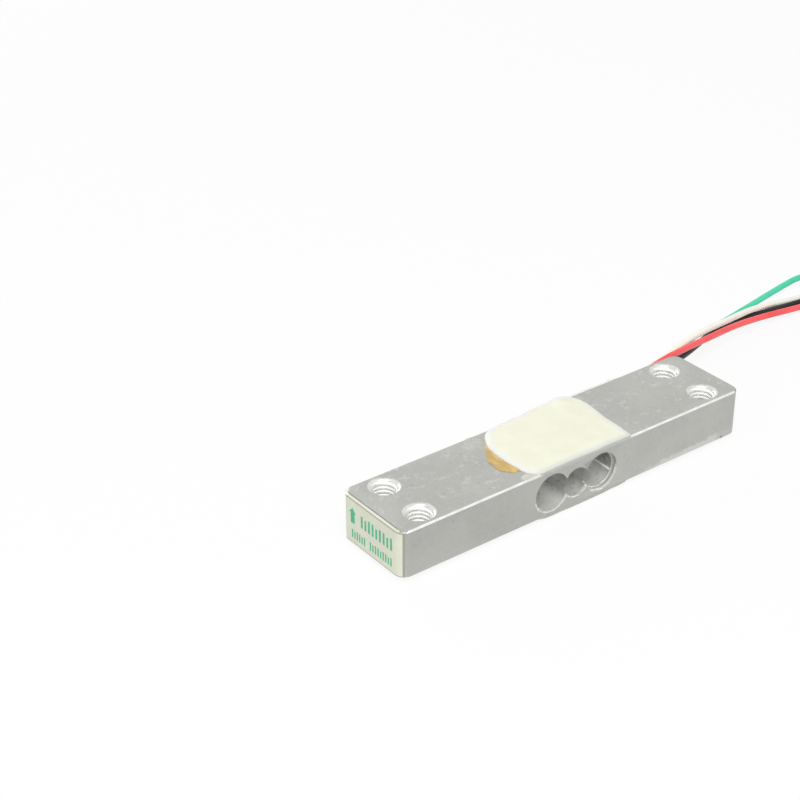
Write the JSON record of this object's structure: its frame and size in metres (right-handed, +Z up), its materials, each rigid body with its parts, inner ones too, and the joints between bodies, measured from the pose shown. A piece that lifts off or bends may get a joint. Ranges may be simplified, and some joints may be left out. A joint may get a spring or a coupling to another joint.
{
  "type": "single point load cell",
  "caption": "Flat aluminium bar load cell with a window of overlapping bores through its middle, tapped mounting holes at both ends, silicone-sealed gauges and loose lead wires.",
  "frame": {"origin": "under the middle of the bar, on the flat of the lower silicone that the load cell stands on", "axes": "+X along the bar towards the lead wires, +Y towards the side that the wires leave, +Z up"},
  "size_m": [0.1719, 0.0373, 0.0114],
  "materials": {
    "bar_aluminium": "fine milled, satin",
    "gauge_film": "amber polyimide film",
    "gauge_foil": "etched constantan foil",
    "board_green": "solder-masked glass-fibre board",
    "enamelled_copper": "enamelled copper wire",
    "solder": "bright solder",
    "silicone_white": "translucent white silicone sealant",
    "label_paper": "off-white paper label",
    "coiled_leads": "four insulated wires side by side",
    "red_insulation": "smooth PVC",
    "black_insulation": "smooth PVC",
    "white_insulation": "smooth PVC",
    "green_insulation": "smooth PVC"
  },
  "bodies": {
    "root": {"sensing_beam": "bar_aluminium", "top_gauge_film": "gauge_film", "bottom_gauge_film": "gauge_film", "top_gauge_foils": "gauge_foil", "bottom_gauge_foils": "gauge_foil", "terminal_board": "board_green", "link_wires": "enamelled_copper", "solder_joints": "solder", "top_gauge_sealant": "silicone_white", "bottom_gauge_sealant": "silicone_white", "strain_relief": "silicone_white", "end_label": "label_paper", "wire_coil": "coiled_leads", "red_wire": "red_insulation", "black_wire": "black_insulation", "white_wire": "white_insulation", "green_wire": "green_insulation"}
  },
  "joints": []
}
